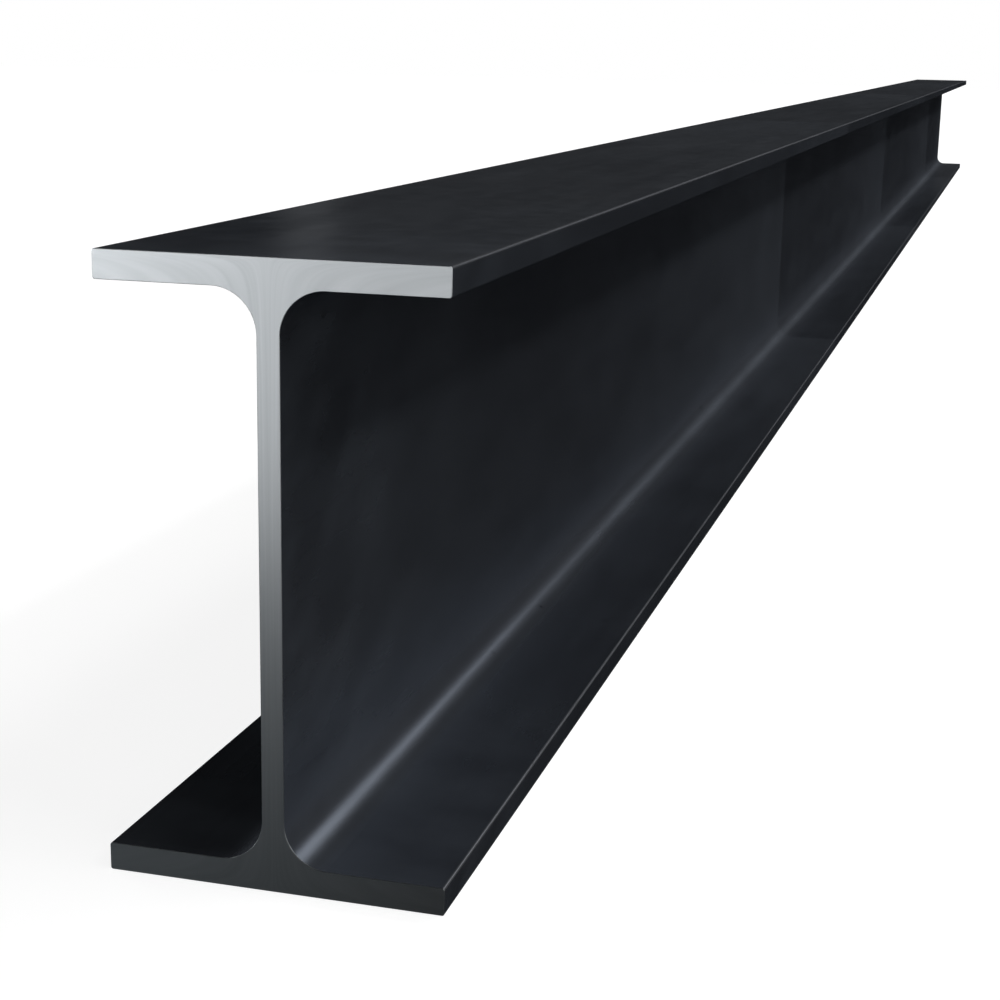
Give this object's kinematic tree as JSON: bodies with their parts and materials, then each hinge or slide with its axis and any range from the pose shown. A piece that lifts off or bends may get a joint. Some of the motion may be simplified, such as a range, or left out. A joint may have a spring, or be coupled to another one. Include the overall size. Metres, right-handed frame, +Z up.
{
  "type": "steel i-beam",
  "caption": "Length of hot-rolled steel I-section: upright web between two parallel flanges, rounded roots, square sawn ends; carries load in bending.",
  "frame": {"origin": "underside of the lower flange, below the middle of the web, halfway along the length", "axes": "+Y along the beam, +Z up through the web, +X across the flanges"},
  "size_m": [0.055, 2, 0.0976],
  "materials": {
    "rolled_steel": "blue-black mill scale as rolled, satin; bright sawn steel on the two end faces"
  },
  "bodies": {
    "root": {"i_beam": "rolled_steel"}
  },
  "joints": []
}
